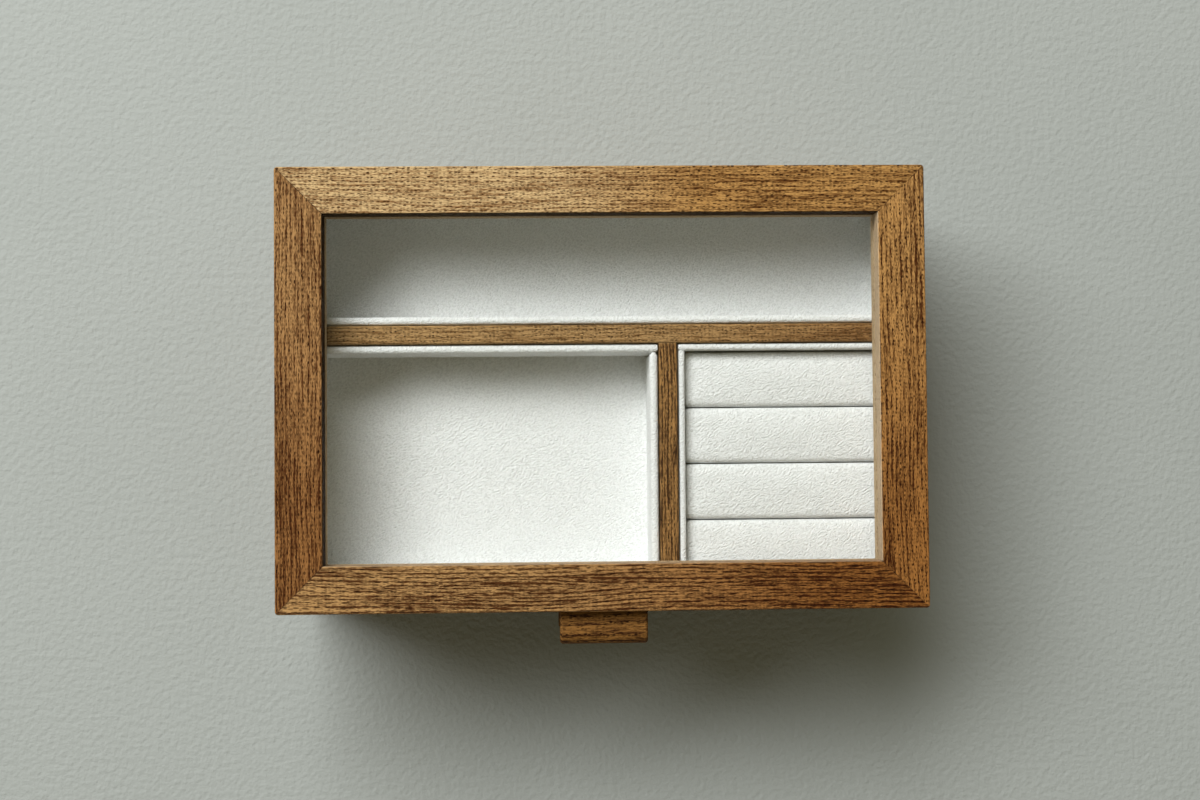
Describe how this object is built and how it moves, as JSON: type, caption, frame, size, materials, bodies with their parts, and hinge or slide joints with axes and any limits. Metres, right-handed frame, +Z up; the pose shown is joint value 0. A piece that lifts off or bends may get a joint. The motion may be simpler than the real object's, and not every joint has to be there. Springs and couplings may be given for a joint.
{
  "type": "jewelry case",
  "caption": "Stained wood jewelry case with a mitred glass lid hinged at the back over lined trays and padded ring rolls, and a shallow lined drawer below.",
  "frame": {"origin": "middle of the case's footprint, on the surface that its felt base rests on", "axes": "+X to the right along the width, +Y to the back where the lid is hinged, +Z up"},
  "size_m": [0.24, 0.1765, 0.0988],
  "materials": {
    "stained_wood": "brown oil stain, open pores, satin",
    "plain_wood": "unstained, sanded",
    "pale_wood": "unstained, sanded",
    "clear_glass": "clear, polished",
    "brass": "satin",
    "lining_fabric": "off-white suede cloth",
    "felt": "dark brown felt",
    "soft_bumper": "matt"
  },
  "bodies": {
    "case": {"back_tray_back_lining": "lining_fabric", "back_tray_floor_pad": "lining_fabric", "back_tray_front_lining": "lining_fabric", "back_tray_left_lining": "lining_fabric", "back_tray_right_lining": "lining_fabric", "base_felt": "felt", "case_back": "stained_wood", "case_bottom": "stained_wood", "case_front_rail": "stained_wood", "case_left_side": "stained_wood", "case_right_side": "stained_wood", "hinge_pins": "brass", "left_hinge_case_barrel": "brass", "left_tray_back_lining": "lining_fabric", "left_tray_floor_pad": "lining_fabric", "left_tray_front_lining": "lining_fabric", "left_tray_left_lining": "lining_fabric", "left_tray_right_lining": "lining_fabric", "lid_bumpers": "soft_bumper", "long_divider": "stained_wood", "right_hinge_case_barrel": "brass", "ring_roll_1": "lining_fabric", "ring_roll_2": "lining_fabric", "ring_roll_3": "lining_fabric", "ring_roll_4": "lining_fabric", "ring_tray_back_lining": "lining_fabric", "ring_tray_front_lining": "lining_fabric", "ring_tray_left_lining": "lining_fabric", "ring_tray_right_lining": "lining_fabric", "short_divider": "stained_wood", "tray_shelf": "plain_wood"},
    "lid": {"left_hinge_lid_barrel": "brass", "lid_back_rail": "stained_wood", "lid_bead_back": "pale_wood", "lid_bead_front": "pale_wood", "lid_bead_left": "pale_wood", "lid_bead_right": "pale_wood", "lid_front_rail": "stained_wood", "lid_glass": "clear_glass", "lid_left_stile": "stained_wood", "lid_lift_tab": "stained_wood", "lid_right_stile": "stained_wood", "right_hinge_lid_barrel": "brass"},
    "drawer": {"drawer_back": "plain_wood", "drawer_back_lining": "lining_fabric", "drawer_bottom": "plain_wood", "drawer_floor_pad": "lining_fabric", "drawer_front": "stained_wood", "drawer_front_lining": "lining_fabric", "drawer_left_lining": "lining_fabric", "drawer_left_side": "plain_wood", "drawer_pull": "stained_wood", "drawer_right_lining": "lining_fabric", "drawer_right_side": "plain_wood"}
  },
  "joints": [
    {"name": "lid_hinge", "type": "hinge", "parent": "case", "child": "lid", "pos_m": [0, 0.078, 0.0824], "axis": [-1, 0, 0], "range_deg": [0, 95]},
    {"name": "drawer_slide", "type": "slide", "parent": "case", "child": "drawer", "axis": [0, -1, 0], "range_m": [0, 0.141]}
  ]
}
